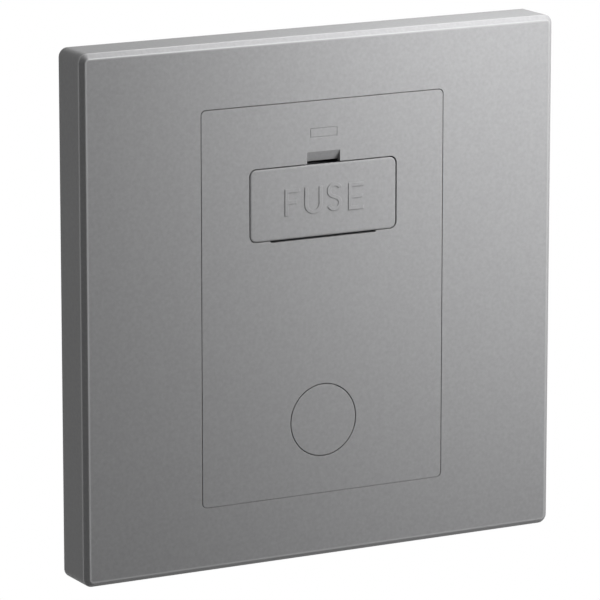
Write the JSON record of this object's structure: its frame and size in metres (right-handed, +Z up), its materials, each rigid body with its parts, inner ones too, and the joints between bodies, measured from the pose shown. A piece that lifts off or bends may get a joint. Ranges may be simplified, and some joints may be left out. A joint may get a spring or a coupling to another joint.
{
  "type": "fused spur unit",
  "caption": "Square fused connection unit for a wall box: bevelled plate, flush panel with pull-out fuse carrier and lever notch, blanked round cord outlet, terminals behind.",
  "frame": {"origin": "on the wall plane, midway between the two box fixing holes", "axes": "X to the right seen from the room, Y into the wall, Z up; the face looks along -Y"},
  "size_m": [0.086, 0.0259, 0.086],
  "materials": {
    "silver_paint": "satin dark silver metallic paint on plastic",
    "frame_plastic": "moulded dark grey polycarbonate",
    "housing_plastic": "moulded light grey thermoset",
    "clamp_plastic": "moulded nylon",
    "fuse_ceramic": "unglazed white",
    "nickel": "nickel plated brass",
    "bronze_strip": "pressed phosphor bronze strip",
    "terminal_brass": "machined brass",
    "zinc_steel": "zinc plated steel"
  },
  "bodies": {
    "unit": {"front_plate": "silver_paint", "function_panel": "silver_paint", "outlet_plug": "silver_paint", "support_frame": "frame_plastic", "rear_housing": "housing_plastic", "cord_clamp": "clamp_plastic", "line_in_contact": "bronze_strip", "line_out_contact": "bronze_strip", "neutral_link": "bronze_strip", "earth_link": "bronze_strip", "line_in_terminal": "terminal_brass", "line_out_terminal": "terminal_brass", "neutral_in_terminal": "terminal_brass", "neutral_out_terminal": "terminal_brass", "earth_in_terminal": "terminal_brass", "earth_out_terminal": "terminal_brass", "terminal_screws": "zinc_steel"},
    "carrier": {"fuse_carrier": "silver_paint", "fuse_tube": "fuse_ceramic", "fuse_cap_left": "nickel", "fuse_cap_right": "nickel"}
  },
  "joints": [
    {"name": "carrier_slide", "type": "slide", "parent": "unit", "child": "carrier", "axis": [0, -1, 0], "range_m": [0, 0.0125]}
  ]
}
